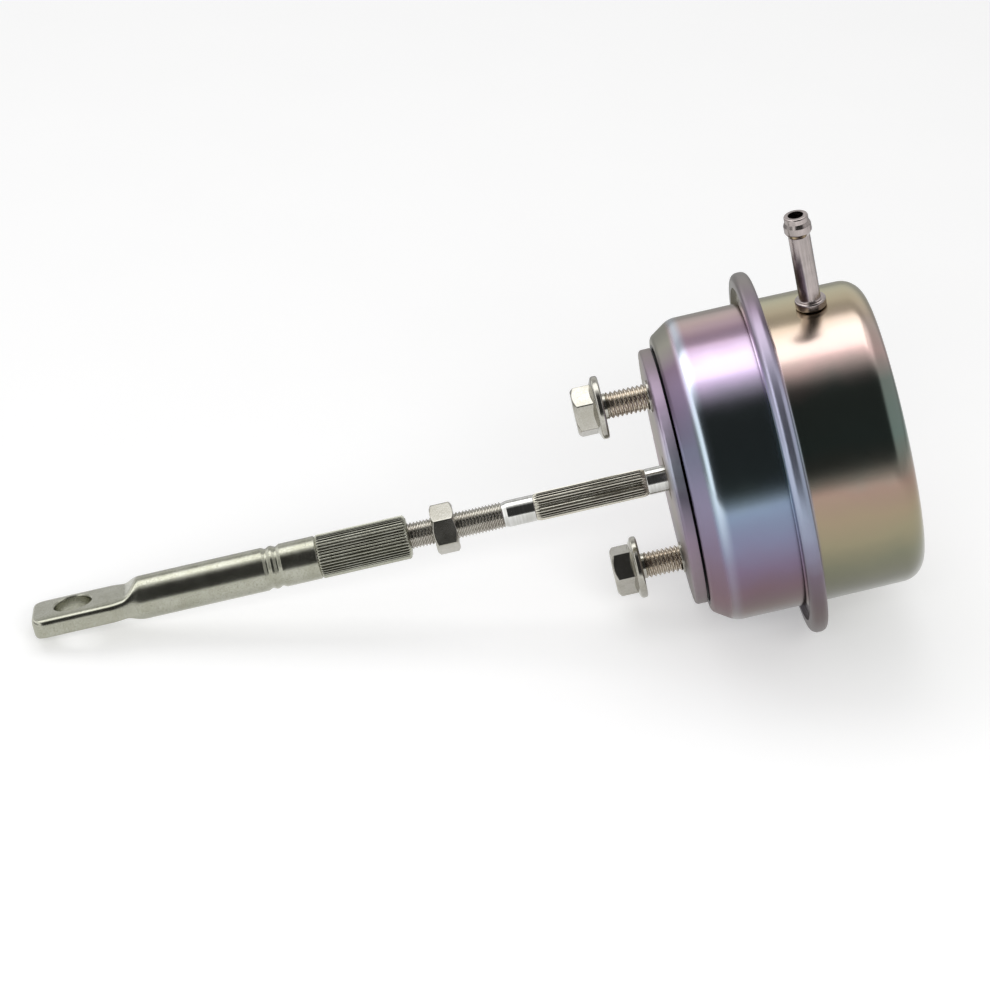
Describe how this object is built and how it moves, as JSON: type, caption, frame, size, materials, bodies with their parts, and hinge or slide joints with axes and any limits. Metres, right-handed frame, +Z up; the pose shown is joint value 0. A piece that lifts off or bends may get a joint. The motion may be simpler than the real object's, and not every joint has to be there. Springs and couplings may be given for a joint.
{
  "type": "wastegate actuator",
  "caption": "Turbocharger wastegate actuator: crimped diaphragm canister with hose barb, sprung knurled rod, jam nut, threaded rod end with pressed eye, and flange bolts.",
  "frame": {"origin": "centre of the mounting plate's front face, on the rod's axis", "axes": "+X along the rod's axis into the canister, +Z up through the hose barb, +Y to the left when looking along +X"},
  "size_m": [0.1961, 0.082, 0.0978],
  "materials": {
    "shell_zinc": "satin iridescent zinc passivate on pressed steel",
    "plate_zinc": "satin iridescent zinc passivate on a turned plate",
    "nickel_steel": "bright nickel plate",
    "forged_nickel": "dull nickel plate over a fine forged grain",
    "barb_nickel": "warm bright plate",
    "spring_steel": "oiled spring wire",
    "inner_steel": "plain pressed steel",
    "bush_bronze": "sintered bronze",
    "rubber": "moulded rubber and rubberised cloth"
  },
  "bodies": {
    "housing": {"front_shell": "shell_zinc", "rear_shell": "shell_zinc", "mounting_plate": "plate_zinc", "weld_nut_upper": "nickel_steel", "weld_nut_lower": "nickel_steel", "hose_barb": "barb_nickel", "guide_bush": "bush_bronze", "guide_retainer": "inner_steel", "rod_wiper": "rubber", "spring_seat": "inner_steel", "spring": "spring_steel", "bump_stop": "rubber", "diaphragm": "rubber"},
    "plunger": {"rod": "nickel_steel", "piston": "inner_steel", "retainer_plate": "inner_steel", "clamp_washer": "inner_steel", "piston_nut": "nickel_steel"},
    "rod_end_group": {"rod_end": "forged_nickel"},
    "jam_nut_group": {"jam_nut": "nickel_steel"},
    "upper_bolt_group": {"flange_bolt_upper": "nickel_steel"},
    "lower_bolt_group": {"flange_bolt_lower": "nickel_steel"}
  },
  "joints": [
    {"name": "rod_slide", "type": "slide", "parent": "housing", "child": "plunger", "axis": [-1, 0, 0], "range_m": [0, 0.012], "stiffness_N_per_m": 5000, "springref_m": -0.01, "deforming": ["spring", "diaphragm"]},
    {"name": "rod_end_thread", "type": "slide", "parent": "plunger", "child": "rod_end_group", "axis": [-1, 0, 0], "range_m": [-0.00225, 0.006]},
    {"name": "jam_nut_thread", "type": "slide", "parent": "plunger", "child": "jam_nut_group", "axis": [1, 0, 0], "range_m": [-0.003, 0.009]},
    {"name": "upper_bolt_thread", "type": "slide", "parent": "housing", "child": "upper_bolt_group", "axis": [1, 0, 0], "range_m": [-0.005, 0.007]},
    {"name": "lower_bolt_thread", "type": "slide", "parent": "housing", "child": "lower_bolt_group", "axis": [1, 0, 0], "range_m": [-0.006, 0.006]}
  ]
}
